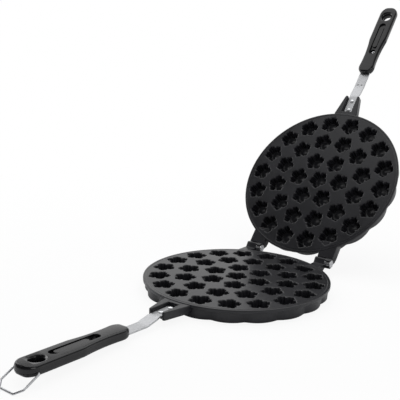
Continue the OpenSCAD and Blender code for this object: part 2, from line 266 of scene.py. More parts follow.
def as_object(name, bm):
    mesh = bpy.data.meshes.new(name)
    bm.to_mesh(mesh)
    bm.free()
    piece = bpy.data.objects.new(name, mesh)
    bpy.context.scene.collection.objects.link(piece)
    return piece


def absorb(bm, other):
    spare = bpy.data.meshes.new("spare")
    other.to_mesh(spare)
    other.free()
    bm.from_mesh(spare)
    bpy.data.meshes.remove(spare)


print("a circle of 8 points starts at", circle(1.0, 0.0, 8)[0])

# %% [markdown]
# Every piece is finished in the same way. Doubled points are merged, the mesh is moved to the
# half it belongs to, and its faces are turned outwards, because mirroring would leave them
# inside out. Edges over a given angle stay sharp. Faces that are parallel to the parting
# plane are shaded flat, so the skin between the cups doesn't pick up false shading from the
# round mouths. Last, the piece rides on its body and stands for its nodes of the frame.

# %% Finishing a piece
WELD, PARALLEL = 1e-6, 0.9999


def finish_mesh(name, bm, material, sharp, half, swaps, body=None):
    bmesh.ops.remove_doubles(bm, verts=bm.verts, dist=WELD)
    bm.transform(PLACE[half])
    bmesh.ops.recalc_face_normals(bm, faces=bm.faces)
    piece = as_object(name, bm)
    mesh = piece.data
    mesh.materials.append(material)
    mesh.shade_smooth()
    mesh.set_sharp_from_angle(angle=radians(sharp))
    up = PLACE[half].to_3x3() @ Vector((0, 0, 1))
    for face in mesh.polygons:
        face.use_smooth = abs(face.normal.dot(up)) < PARALLEL
    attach(piece, body or BODY[half])
    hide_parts(*swaps)
    print(name, len(mesh.vertices), "points")
    return piece


print("back of the upper plate", [round(v, 3) for v in PLACE["upper"].translation], "m")

# %% [markdown]
# One cup is a five-petal flower, and each petal is fluted with three small scallops, which
# make the walls ribbed. The outline is the outermost of these scallop circles and a round
# middle, seen along each ray from the centre. Joining the circles with booleans would give
# the same outline, but the rule along a ray gives each ring of the loft the same points.

# %% Flower outline
PETALS, PETAL_AT, CORE_R, FLOWER_N = 5, 7.0 * MM, 8.0 * MM, 140
SCALLOP_AT, SCALLOP_R, SCALLOP_STEP = 3.0 * MM, 2.0 * MM, radians(63)
SCALLOPS = [(PETAL_AT + SCALLOP_AT * cos(k * SCALLOP_STEP), SCALLOP_AT * sin(k * SCALLOP_STEP))
            for k in (-1, 0, 1)]


def flower_radius(a, grow=0.0):
    best = CORE_R + grow
    for k in range(PETALS):
        d = a - k * 2 * pi / PETALS
        for x, y in SCALLOPS:
            along = x * cos(d) + y * sin(d)
            aside = x * sin(d) - y * cos(d)
            if along > 0 and abs(aside) < SCALLOP_R + grow:
                best = max(best, along + sqrt((SCALLOP_R + grow) ** 2 - aside * aside))
    return best


def flower_ring(grow, z, x=0.0, y=0.0, turn=0.0):
    ring = []
    for k in range(FLOWER_N):
        a = 2 * pi * k / FLOWER_N
        r = flower_radius(a, grow)
        ring.append((x + r * cos(a + turn), y + r * sin(a + turn), z))
    return ring


print("petal tip", round(flower_radius(0.0) / MM, 1), "valley",
      round(flower_radius(pi / PETALS) / MM, 1), "mm")

# %% [markdown]
# The cups lie in rings about a centre cup. Each ring starts half a step beside the grip, as
# on the real plate, and every flower turns with its place round the plate.

# %% Places of the cups
def ring_start(n):
    return -90 + (CENTRE_TURN if n == 1 else 180 / n)


def cup_places():
    for n, r in CUP_RINGS:
        for k in range(n):
            a = radians(ring_start(n) + 360 * k / n)
            yield r * cos(a), r * sin(a), a


print("cups in a plate", len(list(cup_places())))

# %% [markdown]
# The wall of a cup is a loft of flower rings from the rounded mouth to the floor. Going down,
# the flower shrinks with the casting's draft and turns into the floor with a small radius,
# and a shallow dome closes the middle. It is made once and repeated by Geometry Nodes, so
# that all the cups of both plates stay the same.

# %% One cup
MOUTH_R, DRAFT, FILLET, CUP_LOW = 1.1 * MM, 0.9 * MM, 2.0 * MM, FLOOR_T + 2.6 * MM
DOME, DOME_TOP = ((0.7, 0.3 * MM), (0.35, 0.75 * MM)), 0.9 * MM


def cup_mesh():
    bm = bmesh.new()
    bend = [pi / 2 * k / 4 for k in range(5)]
    rings = [flower_ring(MOUTH_R * (1 - sin(a)), HALF_H - MOUTH_R * (1 - cos(a))) for a in bend]
    top, low = HALF_H - MOUTH_R, CUP_LOW + FILLET
    rings += [flower_ring(-DRAFT * k / 3, top + (low - top) * k / 3) for k in range(1, 4)]
    rings += [flower_ring(-DRAFT - FILLET * (1 - cos(a)), CUP_LOW + FILLET * (1 - sin(a)))
              for a in bend[1:]]
    floor_ring = rings[-1]
    rings += [[(x * f, y * f, CUP_LOW + lift) for x, y, z in floor_ring] for f, lift in DOME]
    rows = loft(bm, rings)
    hub = bm.verts.new((0, 0, CUP_LOW + DOME_TOP))
    for k in range(FLOWER_N):
        bm.faces.new((rows[-1][k], rows[-1][(k + 1) % FLOWER_N], hub))
    return as_object("cup_pattern", bm)


CUP = cup_mesh()
print("cup pattern", len(CUP.data.polygons), "faces")

# %% [markdown]
# The back of the casting has a round boss under each cup, with draft and a soft edge. It
# could be turned with Spin, but five circles and a loft are as short. It is the second
# pattern that the tree repeats.

# %% One boss
BOSS_SIDES = 40
BOSS_SIDE = ((BOSS_R, RELIEF_D), (BOSS_R - 0.5 * MM, 1.2 * MM), (BOSS_R - 0.9 * MM, 0.4 * MM),
             (BOSS_R - 1.8 * MM, 0.0), (BOSS_R * 0.5, 0.0))


def boss_mesh():
    bm = bmesh.new()
    rows = loft(bm, [circle(r, z, BOSS_SIDES) for r, z in BOSS_SIDE])
    bm.faces.new(rows[-1])
    return as_object("boss_pattern", bm)


BOSS = boss_mesh()
print("boss pattern", len(BOSS.data.polygons), "faces")

# %% [markdown]
# The tree that repeats a pattern in rings. For each ring it makes a mesh circle with the
# ring's count and radius, puts one instance of the pattern on each point, turned with its
# place round the plate, and joins the rings. A mesh circle has three points or more, so for
# the centre cup only the first one is used. Copies placed by a loop would do as well, but
# here the pitch stays a number to change. Every tree of this lesson starts with its named
# inputs and ends in Realize Instances and Set Material.

# %% Ring tree
def new_tree(name, *inputs):
    tree = bpy.data.node_groups.new(name, "GeometryNodeTree")
    for title, kind in inputs:
        tree.interface.new_socket(title, in_out="INPUT", socket_type="NodeSocket" + kind)
    tree.interface.new_socket("Geometry", in_out="OUTPUT", socket_type="NodeSocketGeometry")
    return tree, node(tree, "NodeGroupInput").outputs


def end_tree(tree, shape, material):
    real = node(tree, "GeometryNodeRealizeInstances", {"Geometry": shape})
    dressed = node(tree, "GeometryNodeSetMaterial",
                   {"Geometry": real.outputs[0], "Material": material})
    node(tree, "NodeGroupOutput", {"Geometry": dressed.outputs[0]})
    return tree


def ring_tree():
    tree, start = new_tree("cups_in_rings", ("Pattern", "Object"), ("Pitch", "Float"),
                           ("Turn", "Float"), ("Coating", "Material"))
    pattern = node(tree, "GeometryNodeObjectInfo", {"Object": start["Pattern"]})
    join = node(tree, "GeometryNodeJoinGeometry")
    index = node(tree, "GeometryNodeInputIndex")
    for count, r in CUP_RINGS:
        first = radians(ring_start(count))
        reach = node(tree, "ShaderNodeMath", {0: start["Pitch"], 1: r / CUP_PITCH},
                     operation="MULTIPLY")
        ring = node(tree, "GeometryNodeMeshCircle", {"Radius": reach.outputs[0]},
                    Vertices=max(count, 3))
        placed = node(tree, "GeometryNodeTransform", {"Geometry": ring.outputs["Mesh"]},
                      Rotation=(0, 0, first))
        step = node(tree, "ShaderNodeMath", {0: index.outputs[0], 1: 2 * pi / count},
                    operation="MULTIPLY")
        angle = node(tree, "ShaderNodeMath", {0: step.outputs[0], 1: start["Turn"]},
                     operation="ADD")
        whole = node(tree, "ShaderNodeMath", {0: angle.outputs[0], 1: first}, operation="ADD")
        spin = node(tree, "ShaderNodeCombineXYZ", {"Z": whole.outputs[0]})
        only = node(tree, "FunctionNodeCompare", {2: index.outputs[0], 3: count},
                    data_type="INT", operation="LESS_THAN")
        put = node(tree, "GeometryNodeInstanceOnPoints",
                   {"Points": placed.outputs["Geometry"], "Selection": only.outputs[0],
                    "Instance": pattern.outputs["Geometry"], "Rotation": spin.outputs[0]})
        tree.links.new(put.outputs["Instances"], join.inputs[0])
    return end_tree(tree, join.outputs[0], start["Coating"])


RINGS = ring_tree()
print("ring tree", len(RINGS.nodes), "nodes")

# %% [markdown]
# A tree is only a recipe. To get a plain mesh from it, it hangs as a modifier on a spare
# object, its inputs are set by the identifiers of their sockets before anything is evaluated,
# and the evaluated object is turned into a new mesh. The spare object and its modifier go.

# %% Growing a mesh from a tree
def evaluated_mesh(piece):
    bpy.context.view_layer.update()
    depsgraph = bpy.context.evaluated_depsgraph_get()
    return bpy.data.meshes.new_from_object(piece.evaluated_get(depsgraph))


def grown(tree, host_mesh, **wanted):
    host = bpy.data.objects.new("host", host_mesh)
    bpy.context.scene.collection.objects.link(host)
    mod = host.modifiers.new(tree.name, "NODES")
    mod.node_group = tree
    for item in tree.interface.items_tree:
        if item.in_out == "INPUT" and item.name in wanted:
            mod[item.identifier] = wanted[item.name]
    mesh = evaluated_mesh(host)
    bpy.data.objects.remove(host)
    bpy.data.meshes.remove(host_mesh)
    return mesh


def in_rings(pattern, turn):
    mesh = grown(RINGS, bpy.data.meshes.new("empty"), Pattern=pattern, Pitch=CUP_PITCH,
                 Turn=turn, Coating=COATING)
    bpy.data.objects.remove(pattern)
    return mesh


CUPS_MESH, BOSSES_MESH = in_rings(CUP, PETAL_TURN), in_rings(BOSS, 0.0)
print("cups", len(CUPS_MESH.polygons), "bosses", len(BOSSES_MESH.polygons), "faces")

# %% [markdown]
# The skin between the cups is a flat sheet with flower-shaped holes. Cutting thirty-seven
# holes with booleans would be slow and leave slivers, so the sheet is filled from its loops:
# one round loop outside and one loop at each cup's mouth, with the very points of the cup.

# %% Sheet with holes
RIM_N = 360


def sheet_with_holes(bm, outer, holes):
    edges = []
    for ring in [outer] + holes:
        verts = [bm.verts.new(p) for p in ring]
        edges += [bm.edges.new((verts[k], verts[(k + 1) % len(verts)]))
                  for k in range(len(verts))]
    bmesh.ops.triangle_fill(bm, edges=edges, use_beauty=True, use_dissolve=False)


print("the rim has", RIM_N, "points and a mouth", FLOWER_N)

# %% [markdown]
# Under the plain rim band the wall is fluted: it follows the outer ring of cups in eighteen
# soft bulges. Eighteen circles, joined smoothly, give the outline, and the valleys between
# them are rounded as in a sand casting. Again it is a rule along a ray, so the fluted wall
# and the round rim have the same points and can be lofted together.

# %% Fluted outline
FLUTES, FLUTE_START, FLUTE_AT, FLUTE_R, VALLEY = 18, radians(-80), 66 * MM, 32.5 * MM, 1.6 * MM


def flute_radius(a, grow=0.0):
    step = 2 * pi / FLUTES
    reach = []
    for k in (-1, 0, 1):
        d = (a - FLUTE_START + step / 2) % step - step / 2 + k * step
        s = FLUTE_AT * sin(d)
        if abs(s) < FLUTE_R + grow:
            reach.append(FLUTE_AT * cos(d) + sqrt((FLUTE_R + grow) ** 2 - s * s))
    top = sorted(reach)[-2:]
    gap = max(0.0, 1 - (top[-1] - top[0]) / VALLEY) if len(top) == 2 else 0.0
    return top[-1] + gap * gap * VALLEY / 4


def flute_ring(grow, z):
    ring = []
    for k in range(RIM_N):
        a = 2 * pi * k / RIM_N
        r = flute_radius(a, grow)
        ring.append((r * cos(a), r * sin(a), z))
    return ring


print("bulge", round(flute_radius(FLUTE_START) / MM, 1), "valley",
      round(flute_radius(FLUTE_START + pi / FLUTES) / MM, 1), "mm")

# %% [markdown]
# The plate itself: the rim band with its small edge radius and a fine step inside the edge,
# the fluted wall with a little draft, the rounded lower edge, and the back with its relief.
# It is one loft from the skin over the rim to the relief's floor, a plain disc that the
# bosses stand on.

# %% Plate body
LIP = ((96.6, 0.0), (97.0, -0.25), (97.4, -0.25), (97.8, 0.0), (99.3, 0.0), (99.8, -0.2),
       (100.0, -0.7))
RIM_UNDER = ((0.05 * MM, 0.5 * MM), (0.5 * MM, 0.0))
WALL_DRAFT, WALL_LOW, FOOT_R = 0.7 * MM, 3.2 * MM, 2.2 * MM
WALL = ((0.0, HALF_H - RIM_H), (0.1 * MM, HALF_H - RIM_H - 0.8 * MM), (WALL_DRAFT, WALL_LOW))
BACK = ((87.9 * MM, 0.0), (87.5 * MM, 0.4 * MM), (87.3 * MM, RELIEF_D))


def plate_bm():
    bm = bmesh.new()
    bm.from_mesh(CUPS_MESH)
    bm.from_mesh(BOSSES_MESH)
    rows = [circle(r * MM, HALF_H + d * MM, RIM_N) for r, d in LIP]
    rows += [circle(PLATE_R - inward, HALF_H - RIM_H + up, RIM_N) for inward, up in RIM_UNDER]
    rows += [flute_ring(-inward, z) for inward, z in WALL]
    for k in range(1, 6):
        a = pi / 2 * k / 5
        rows.append(flute_ring(-WALL_DRAFT - FOOT_R * (1 - cos(a)), FOOT_R * (1 - sin(a))))
    rows += [circle(r, z, RIM_N) for r, z in BACK]
    loft(bm, rows)
    mouths = [flower_ring(MOUTH_R, HALF_H, x, y, a + PETAL_TURN) for x, y, a in cup_places()]
    sheet_with_holes(bm, rows[0], mouths)
    bm.faces.new([bm.verts.new(p) for p in rows[-1]])
    return bm


print("rim band", round(RIM_H / MM, 1), "mm of", round(HALF_H / MM, 1), "mm")

# %% [markdown]
# The fork at the front is cast with the plate: two tapering arms and a thin web between them
# form an open channel that the strap lies in. Each part is a prism, a drawn outline raised
# between two heights, with rounded edges, because a casting has no sharp ones. A bevel with
# three segments is enough at this size.

# %% Fork
FORK_TOP, FORK_WEB, FORK_UNDER = HALF_H - 0.6 * MM, HALF_H - 6.1 * MM, HALF_H - 8.8 * MM
FORK_ARM = ((15.6, -92), (15.6, -101), (10.2, -126.6), (9.4, -129), (6.4, -129), (6.4, -92))
FORK_FLOOR = ((-6.9, -92), (-6.9, -127), (6.9, -127), (6.9, -92))
FORK_BLOCK = ((-7, -90), (-7, -104.4), (7, -104.4), (7, -90))
ARM_EDGE, BLOCK_EDGE, FLOOR_UP, BEVEL_OVER = 0.9 * MM, 0.6 * MM, 0.3 * MM, 0.5


def in_mm(points):
    return [(x * MM, y * MM) for x, y in points]


def prism(bm, outline, low, high, bevel=0.0, axis="z"):
    n = len(outline)
    put = {"z": lambda p, h: (p[0], p[1], h), "x": lambda p, h: (h, p[0], p[1])}[axis]
    bottom = [bm.verts.new(put(p, low)) for p in outline]
    top = [bm.verts.new(put(p, high)) for p in outline]
    faces = [bm.faces.new(bottom[::-1]), bm.faces.new(top)]
    for k in range(n):
        faces.append(bm.faces.new((bottom[k], bottom[(k + 1) % n], top[(k + 1) % n], top[k])))
    bmesh.ops.recalc_face_normals(bm, faces=faces)
    if bevel:
        edges = list({e for f in faces for e in f.edges if e.calc_face_angle(0) > BEVEL_OVER})
        bmesh.ops.bevel(bm, geom=edges, offset=bevel, segments=3, profile=0.5,
                        affect="EDGES", clamp_overlap=True)


def fork_bm():
    bm = bmesh.new()
    floor = FORK_UNDER + FLOOR_UP
    for m in (-1, 1):
        arm = [(m * x, y) for x, y in FORK_ARM]
        prism(bm, in_mm(arm), FORK_UNDER, FORK_TOP, ARM_EDGE)
    prism(bm, in_mm(FORK_FLOOR), floor, FORK_WEB)
    prism(bm, in_mm(FORK_BLOCK), floor, FORK_TOP, BLOCK_EDGE)
    return bm


print("fork from", round(FORK_UNDER / MM, 1), "to", round(FORK_TOP / MM, 1), "mm")

# %% [markdown]
# Behind the plate stand two hinge lugs. The lower ones end in a knuckle with a heel, the
# upper ones in a hook that runs on the bare pin, and the heel stops the open half. All are
# prisms across the pan on side views drawn in mm about the hinge axis. The upper ones are
# drawn in the closed place, and OVER mirrors them here, because their half is mirrored again.

# %% Lugs
LUG_X, LUG_W, LUG_REACH, LUG_GAP = (-56.5, 38.0), 13.2, 6.0, 0.4
KNUCKLE_R, HOOK_R, HOOK_BORE, HOOK_MOUTH, NECK_R = 5.3, 5.8, 3.56, 52, 4.6
KNUCKLE_ARC, NECK_ARC, WEB_PAST = (265, 470, 24), (105, 165, 8), 0.5
LUG_EDGE, HEEL_EDGE, WEB_EDGE = 0.5 * MM, 0.3 * MM, 0.6 * MM
ARM_SIDE, ARM_TOP = [(-27, -0.5), (-27, -10.5), (-8, -10.5)], [(-5.2, -0.5)]
HEEL_SIDE = [(1, 2), (6.05, -3.4), (6.05, -9.6), (2.6, -9.6), (-2, -4.4)]
WEB_SIDE = [(-6.2, 0.5), (-6.2, 9.8), (-10, 11), (-27, 11), (-27, 0.5)]
NECK_SIDE = [(-7.2, 0.5), (-7.2, 9.8), (-6.2, 9.8), (-1.2, 5.6)]


def turned(points, angle):
    c, s = cos(angle), sin(angle)
    return [(x * c - y * s, x * s + y * c) for x, y in points]


def at_axis(points):
    return [(AXIS_Y + y * MM, AXIS_Z + z * MM) for y, z in points]


def arc(r, start, end, steps):
    return [(r * cos(radians(start + (end - start) * k / steps)),
             r * sin(radians(start + (end - start) * k / steps))) for k in range(steps + 1)]


def lower_lugs():
    bm = bmesh.new()
    arm = ARM_SIDE + arc(KNUCKLE_R, *KNUCKLE_ARC) + ARM_TOP
    heel = turned(HEEL_SIDE, pi - OPEN)
    for x in LUG_X:
        x0, x1 = x * MM, (x + LUG_W) * MM
        prism(bm, at_axis(arm), x0, x1, LUG_EDGE, "x")
        prism(bm, at_axis(heel), x0 + LUG_GAP * MM, x1 - LUG_GAP * MM, HEEL_EDGE, "x")
    return bm


def upper_lugs():
    bm = bmesh.new()
    start = degrees(OPEN) - 180 + HOOK_MOUTH
    end = start + 360 - 2 * HOOK_MOUTH
    hook = arc(HOOK_R, start, end, 30) + arc(HOOK_BORE, end, start, 30)
    neck = NECK_SIDE + arc(NECK_R, *NECK_ARC)
    for x in LUG_X:
        h0, h1 = (x + LUG_W + LUG_GAP) * MM, (x + LUG_W + LUG_REACH) * MM
        prism(bm, at_axis(WEB_SIDE), (x - WEB_PAST) * MM, h1, WEB_EDGE, "x")
        prism(bm, at_axis(hook), h0, h1, 0.0, "x")
        prism(bm, at_axis(neck), h0, h1, 0.0, "x")
    bm.transform(OVER)
    return bm


print("hinge lugs at x", LUG_X)

# %% [markdown]
# Each casting is one piece on its body and stands for its node in the frame. The plate, the
# fork and the lugs are poured into one mesh. They overlap a little, as welded-in parts of a
# pattern do, which is lighter than a boolean and looks the same.

# %% The two castings
LUGS = {"lower": lower_lugs, "upper": upper_lugs}


def casting(half):
    bm = plate_bm()
    absorb(bm, fork_bm())
    absorb(bm, LUGS[half]())
    return finish_mesh(half + "_plate_casting", bm, COATING, 38, half,
                       swaps=(half + "_plate",))


for half in HALVES:
    casting(half)

# %% [markdown]
# The grip is moulded round the strap's end. It is a waisted bar with rounded edges: a loft
# of rounded sections along its length, which grow smaller towards both ends so that the
# nose and the tail come out round. A beveled box can't follow the waist and keep two edge
# radii. Sizes are in mm, with the nose at y = 0 and the inner face at z = 0. Near the ends an
# edge radius is held to a share of what is left of the section's height and width.

# %% Grip sections
GRIP_Y, GRIP_LEN, GRIP_W, GRIP_T = -170 * MM, 114.0, 24.0, 9.5
GRIP = {"lower": (1.8, radians(2.2)), "upper": (2.2, radians(-1.0))}
FRONT_R, REAR_R, INNER_R, OUTER_R = 11.2, 11.6, 3.1, 4.6
WAIST_W, WAIST_Y, WAIST_R = 19.2, -28.0, 170.0
HEIGHT_SHARE, WIDTH_SHARE = 1 / 2.3, 0.9


def grip_place(half):
    drop, tilt = GRIP[half]
    return (Matrix.Translation((0, GRIP_Y, AXIS_Z - drop * MM))
            @ Matrix.Rotation(-tilt, 4, "X"))


def rounding(r, inside):
    return r - sqrt(max(0.0, r * r - (r - inside) ** 2)) if inside < r else 0.0


def half_width(y):
    w = GRIP_W / 2
    if abs(y - WAIST_Y) < WAIST_R / 3:
        w = min(w, WAIST_W / 2 + WAIST_R - sqrt(WAIST_R ** 2 - (y - WAIST_Y) ** 2))
    return w - rounding(FRONT_R, -y) - rounding(REAR_R, y + GRIP_LEN)


def section(y, n=10):
    w, end = half_width(y), min(-y, y + GRIP_LEN)
    top, low = -rounding(INNER_R, end), -GRIP_T + rounding(OUTER_R, end)
    ring = []
    for cx, cz, r, a0 in ((w, top, INNER_R, 0), (-w, top, INNER_R, 90),
                          (-w, low, OUTER_R, 180), (w, low, OUTER_R, 270)):
        sx = -1 if cx > 0 else 1
        sz = -1 if cz > -GRIP_T / 2 else 1
        r = min(r, (top - low) * HEIGHT_SHARE, w * WIDTH_SHARE)
        for k in range(n + 1):
            a = radians(a0 + 90 * k / n)
            x, z = cx + sx * r + r * cos(a), cz + sz * r + r * sin(a)
            ring.append((x * MM, y * MM, z * MM))
    return ring


print("grip width at the waist", round(2 * half_width(WAIST_Y), 1), "mm")

# %% [markdown]
# The slot, its raised pad, the hanging hole and the screw's well are cut with booleans, as
# the mould's cores would leave them. A core is a prism on a drawn outline or a profile turned
# about an upright axis. The exact solver keeps the edges clean where a core ends in a face.

# %% Grip cutters
SLOT, PAD = (4.3, -80.0, -35.0), (3.0, -76.0, -46.0)


def stadium(r, y0, y1, n=16):
    pts = [(r * cos(radians(180 * k / n)), y1 + r * sin(radians(180 * k / n)))
           for k in range(n + 1)]
    pts += [(r * cos(radians(180 + 180 * k / n)), y0 + r * sin(radians(180 + 180 * k / n)))
            for k in range(n + 1)]
    return in_mm(pts)


def revolve(bm, profile, n=40, y=0.0):
    rows = loft(bm, [circle(r, z, n, y) for r, z in profile])
    bm.faces.new(rows[0][::-1])
    bm.faces.new(rows[-1])
    bmesh.ops.recalc_face_normals(bm, faces=bm.faces)


def core(name, outline, low, high):
    bm = bmesh.new()
    prism(bm, outline, low * MM, high * MM)
    return as_object(name, bm)


def cut(piece, tool):
    mod = piece.modifiers.new("cut", "BOOLEAN")
    mod.operation, mod.object, mod.solver = "DIFFERENCE", tool, "EXACT"
    mesh = evaluated_mesh(piece)
    piece.modifiers.clear()
    piece.data = mesh
    bpy.data.objects.remove(tool)


print("slot outline", len(stadium(*SLOT)), "points")

# %% [markdown]
# Now the grip itself: the loft is made, cut, and laid at its half's angle. The hanging hole
# gets a rounded mouth, and the lower grip also gets a cross hole in each side for the bail.

# %% Grips
BAR_STEPS, HANG_Y, HOLE_R, HOLE_SIDES = 38, -96.5, 6, 48
HOLE_MOUTH = ((5.8, -2.4), (6.3, -1.5), (7.0, -0.7), (7.9, -0.15), (8.6, 0.15))
SLOT_FLOOR, PAD_FOOT, PAD_TOP, BELOW, ABOVE = -2.4, -3, -0.7, -14, 3
SCREW_Y, WELL_R, WELL_SIDES, TANG_Z = -36.0, 3.7, 40, -6.4
PIVOT_Y, PIVOT_Z, DRILL_R, DRILL_LEN, DRILL_DEEP = -104.1, -6.0, 0.95, 7, 3.2


def grip_bar():
    bm = bmesh.new()
    bow = [1 - cos(radians(a)) for a in range(4, 91, 7)]
    straight = GRIP_LEN - FRONT_R - REAR_R
    ys = [-FRONT_R * b for b in bow]
    ys += [-FRONT_R - straight * k / BAR_STEPS for k in range(1, BAR_STEPS + 1)]
    ys += [-GRIP_LEN + REAR_R * b for b in reversed(bow)]
    rows = loft(bm, [section(y) for y in ys])
    bm.faces.new(rows[0])
    bm.faces.new(rows[-1][::-1])
    bmesh.ops.recalc_face_normals(bm, faces=bm.faces)
    return as_object("grip", bm)


def bail_drill(m):
    bm = bmesh.new()
    bmesh.ops.create_cone(bm, cap_ends=True, segments=20, radius1=DRILL_R * MM,
                          radius2=DRILL_R * MM, depth=DRILL_LEN * MM)
    x = m * (GRIP_W / 2 - DRILL_DEEP + DRILL_LEN / 2)
    bm.transform(Matrix.Translation((x * MM, PIVOT_Y * MM, PIVOT_Z * MM))
                 @ Matrix.Rotation(pi / 2, 4, "Y"))
    return as_object("bail_drill", bm)


def grip(half):
    piece = grip_bar()
    hole = circle(HOLE_R * MM, 0.0, HOLE_SIDES, HANG_Y * MM)
    cut(piece, core("hanging_hole", hole, BELOW, ABOVE))
    mouth = bmesh.new()
    revolve(mouth, in_mm(HOLE_MOUTH), HOLE_SIDES, HANG_Y * MM)
    cut(piece, as_object("hole_mouth", mouth))
    slot = core("slot", stadium(*SLOT), SLOT_FLOOR, ABOVE)
    cut(slot, core("pad", stadium(*PAD), PAD_FOOT, PAD_TOP))
    cut(piece, slot)
    well = circle(WELL_R * MM, 0.0, WELL_SIDES, SCREW_Y * MM)
    cut(piece, core("screw_well", well, TANG_Z, ABOVE))
    if half == "lower":
        for m in (-1, 1):
            cut(piece, bail_drill(m))
    bm = bmesh.new()
    bm.from_mesh(piece.data)
    bpy.data.objects.remove(piece)
    bm.transform(grip_place(half))
    return finish_mesh(half + "_phenolic_grip", bm, RESIN, 35, half, swaps=(half + "_grip",))


for half in HALVES:
    grip(half)

# %% [markdown]
# The strap is a steel strip that lies in the fork, steps down in a soft double bend and runs
# into the grip. Its side view is a line of five points. The corners are rounded first, as a
# press brake would leave them, and the line is then cut into steps of half a millimetre.

# %% Strap path
STRAP_T, STRAP_FRONT, STEP_START, STEP_END = 1.8, -105.6 * MM, -131 * MM, -148 * MM
TANG_END, BEND, FINE = -41.8 * MM, 12 * MM, 0.5 * MM
STRAIGHT, LEG_SHARE = 1e-3, 0.45


def rounded_path(points, radius, steps=8):
    out = [points[0]]
    for a, b, c in zip(points, points[1:], points[2:]):
        d0, d1 = (b - a).normalized(), (c - b).normalized()
        angle = d0.angle(d1)
        if angle < STRAIGHT:
            out.append(b)
            continue
        leg = min((b - a).length, (c - b).length)
        t = min(radius * tan(angle / 2), leg * LEG_SHARE)
        p, q = b - d0 * t, b + d1 * t
        for k in range(steps + 1):
            f = k / steps
            out.append(p.lerp(b, f).lerp(b.lerp(q, f), f))
    out.append(points[-1])
    return out


def strap_path(half):
    tilt, place = GRIP[half][1], grip_place(half)
    nose = place @ Vector((0, 0, TANG_Z * MM))
    tang = place @ Vector((0, TANG_END, TANG_Z * MM))
    web = FORK_WEB + STRAP_T * MM / 2
    low_z = nose.z + (nose.y - STEP_END) * tan(tilt)
    bends = rounded_path([Vector((0, STRAP_FRONT, web)), Vector((0, STEP_START, web)),
                          Vector((0, STEP_END, low_z)), nose, tang], BEND)
    path = []
    for a, b in zip(bends, bends[1:]):
        steps = max(1, int((b - a).length / FINE))
        path += [a.lerp(b, k / steps) for k in range(steps)]
    return path + [bends[-1]]


for half in HALVES:
    print(half, "strap path", len(strap_path(half)), "points")

# %% [markdown]
# A strip is this line with a width. A curve with a bevel would do for a plain one, but this
# strap widens in a soft shoulder, is a little narrower inside the grip and has two pressed
# dimples. So each point of the line gets its own ring: the strip's section with rounded
# edges, and enough points across for the dimples to sink into.

# %% Straps
IN_FORK, WIDE, IN_GRIP = 5.95, 6.8, 5.9
SHOULDER, WIDE_FROM, GRIP_FROM = -131, -135, -172.5
EDGE_R, ACROSS = 0.35 * MM, 13
DIMPLE_X, DIMPLE_Y, DIMPLE_R, DIMPLE_D = 2.7 * MM, -150.7 * MM, 1.6 * MM, 0.45 * MM


def strap_half_width(y):
    y = y / MM
    if y > SHOULDER:
        return IN_FORK * MM
    if y > WIDE_FROM:
        f = (SHOULDER - y) / (SHOULDER - WIDE_FROM)
        return (IN_FORK + (WIDE - IN_FORK) * f * f * (3 - 2 * f)) * MM
    return (WIDE if y > GRIP_FROM else IN_GRIP) * MM


def dent(x, y):
    away = [sqrt((x - m * DIMPLE_X) ** 2 + (y - DIMPLE_Y) ** 2) for m in (-1, 1)]
    return sum(DIMPLE_D * max(0.0, 1 - (d / DIMPLE_R) ** 2) for d in away)


def strap_ring(p, up):
    w, t, e = strap_half_width(p.y), STRAP_T * MM / 2, EDGE_R
    ring = []
    for side, a0 in ((1, 0), (-1, 180)):
        corner = [radians(a0 + 30 * k) for k in range(4)]
        points = [(side * (w - e) + e * cos(a), side * (t - e) + e * sin(a)) for a in corner]
        points += [((w - e) * side * (1 - k / ACROSS), side * t) for k in range(1, 2 * ACROSS)]
        points += [(-side * (w - e) + e * cos(a + pi / 2), side * (t - e) + e * sin(a + pi / 2))
                   for a in corner]
        ring += [Vector((x, 0, 0)) + p + up * (z - dent(x, p.y)) for x, z in points]
    return ring


def strap(half):
    bm = bmesh.new()
    path = strap_path(half)
    rings = []
    for i, p in enumerate(path):
        d = (path[min(i + 1, len(path) - 1)] - path[max(i - 1, 0)]).normalized()
        rings.append(strap_ring(p, Vector((0, -d.z, d.y)) * (-1 if d.y < 0 else 1)))
    rows = loft(bm, rings)
    bm.faces.new(rows[0])
    bm.faces.new(rows[-1][::-1])
    return finish_mesh(half + "_steel_strap", bm, STRIP, 40, half, swaps=(half + "_strap",))


for half in HALVES:
    strap(half)

# %% [markdown]
# Two domed rivets hold each strap in its fork. A rivet, a screw and a pin are all round, so
# each is its side profile turned about its own axis. This one runs from the closed head
# under the fork through the shank to the dome on the strap, with heights from each face.

# %% One rivet
SHANK_R, DOME_R, DOME_H, DOME_FOOT = 1.6, 2.7, 1.0, 0.3
CLOSED_HEAD = [(0.3, -0.8), (2.1, -0.8), (2.4, -0.5), (2.4, 0), (SHANK_R, 0)]
DOME_HEAD = [(SHANK_R, 0), (DOME_R, 0)]
DOME_HEAD += [(DOME_R * cos(radians(a)), DOME_FOOT + DOME_H * sin(radians(a)))
              for a in range(0, 90, 15)]
DOME_HEAD += [(0.2, DOME_FOOT + DOME_H)]


def rivet_pattern():
    under, top = FORK_UNDER / MM, FORK_WEB / MM + STRAP_T
    profile = [(r, under + h) for r, h in CLOSED_HEAD] + [(r, top + h) for r, h in DOME_HEAD]
    bm = bmesh.new()
    revolve(bm, in_mm(profile))
    return as_object("rivet_pattern", bm)


RIVET = rivet_pattern()
print("rivet pattern", len(RIVET.data.polygons), "faces")

# %% [markdown]
# The two rivets of a strap stand in a row, so a second small tree repeats one pattern along
# a line. Its inputs are the count, the first place, the step and the metal. A row of four or
# six would need no new code.

